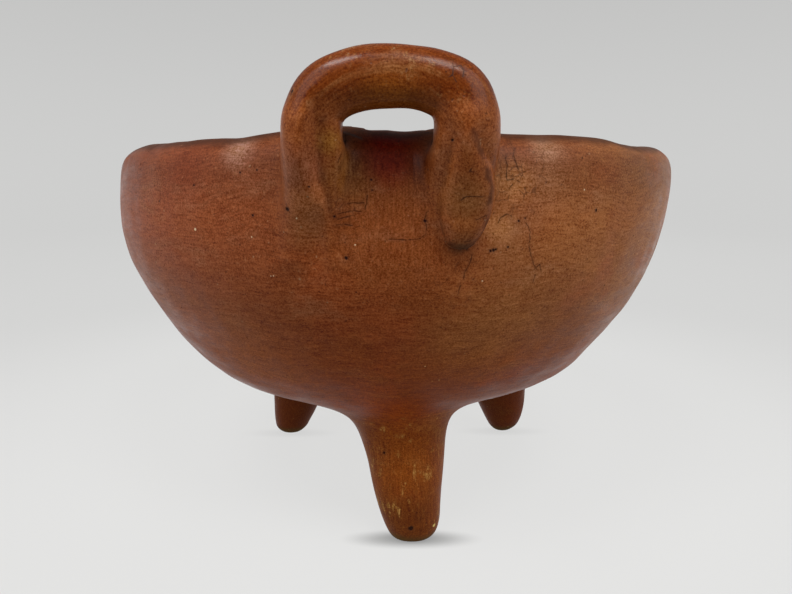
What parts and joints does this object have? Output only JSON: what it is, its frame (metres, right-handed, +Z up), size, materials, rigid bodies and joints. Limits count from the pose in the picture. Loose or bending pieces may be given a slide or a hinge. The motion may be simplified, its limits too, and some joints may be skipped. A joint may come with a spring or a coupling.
{
  "type": "pig effigy dish",
  "caption": "Round-bottomed burnished clay bowl on a tripod of solid legs, with a loop tail as a handle at the back and a pig's head on the front wall.",
  "frame": {"origin": "on the surface the dish stands on, under the middle of the whole object's box", "axes": "+Z up; +Y towards the pig's head, with the tail at -Y; +X to the pig's right, which is also the right of the picture"},
  "size_m": [0.2206, 0.2756, 0.1665],
  "materials": {
    "burnished_wall": "red-brown low-fired clay, burnished by hand to a soft sheen",
    "burnished_leg": "darker red-brown clay, burnished with vertical strokes, worn at the foot",
    "polished_tail": "orange-brown clay, polished by handling",
    "burnished_head": "red-brown clay, burnished",
    "eye_pellet": "dark red-brown clay pellet"
  },
  "bodies": {
    "root": {"bowl_shell": "burnished_wall", "leg_rear": "burnished_leg", "leg_front_left": "burnished_leg", "leg_front_right": "burnished_leg", "tail_loop": "polished_tail", "head_boss": "burnished_head", "snout": "burnished_head", "ear_left": "burnished_head", "ear_right": "burnished_head", "eye_left": "eye_pellet", "eye_right": "eye_pellet"}
  },
  "joints": []
}
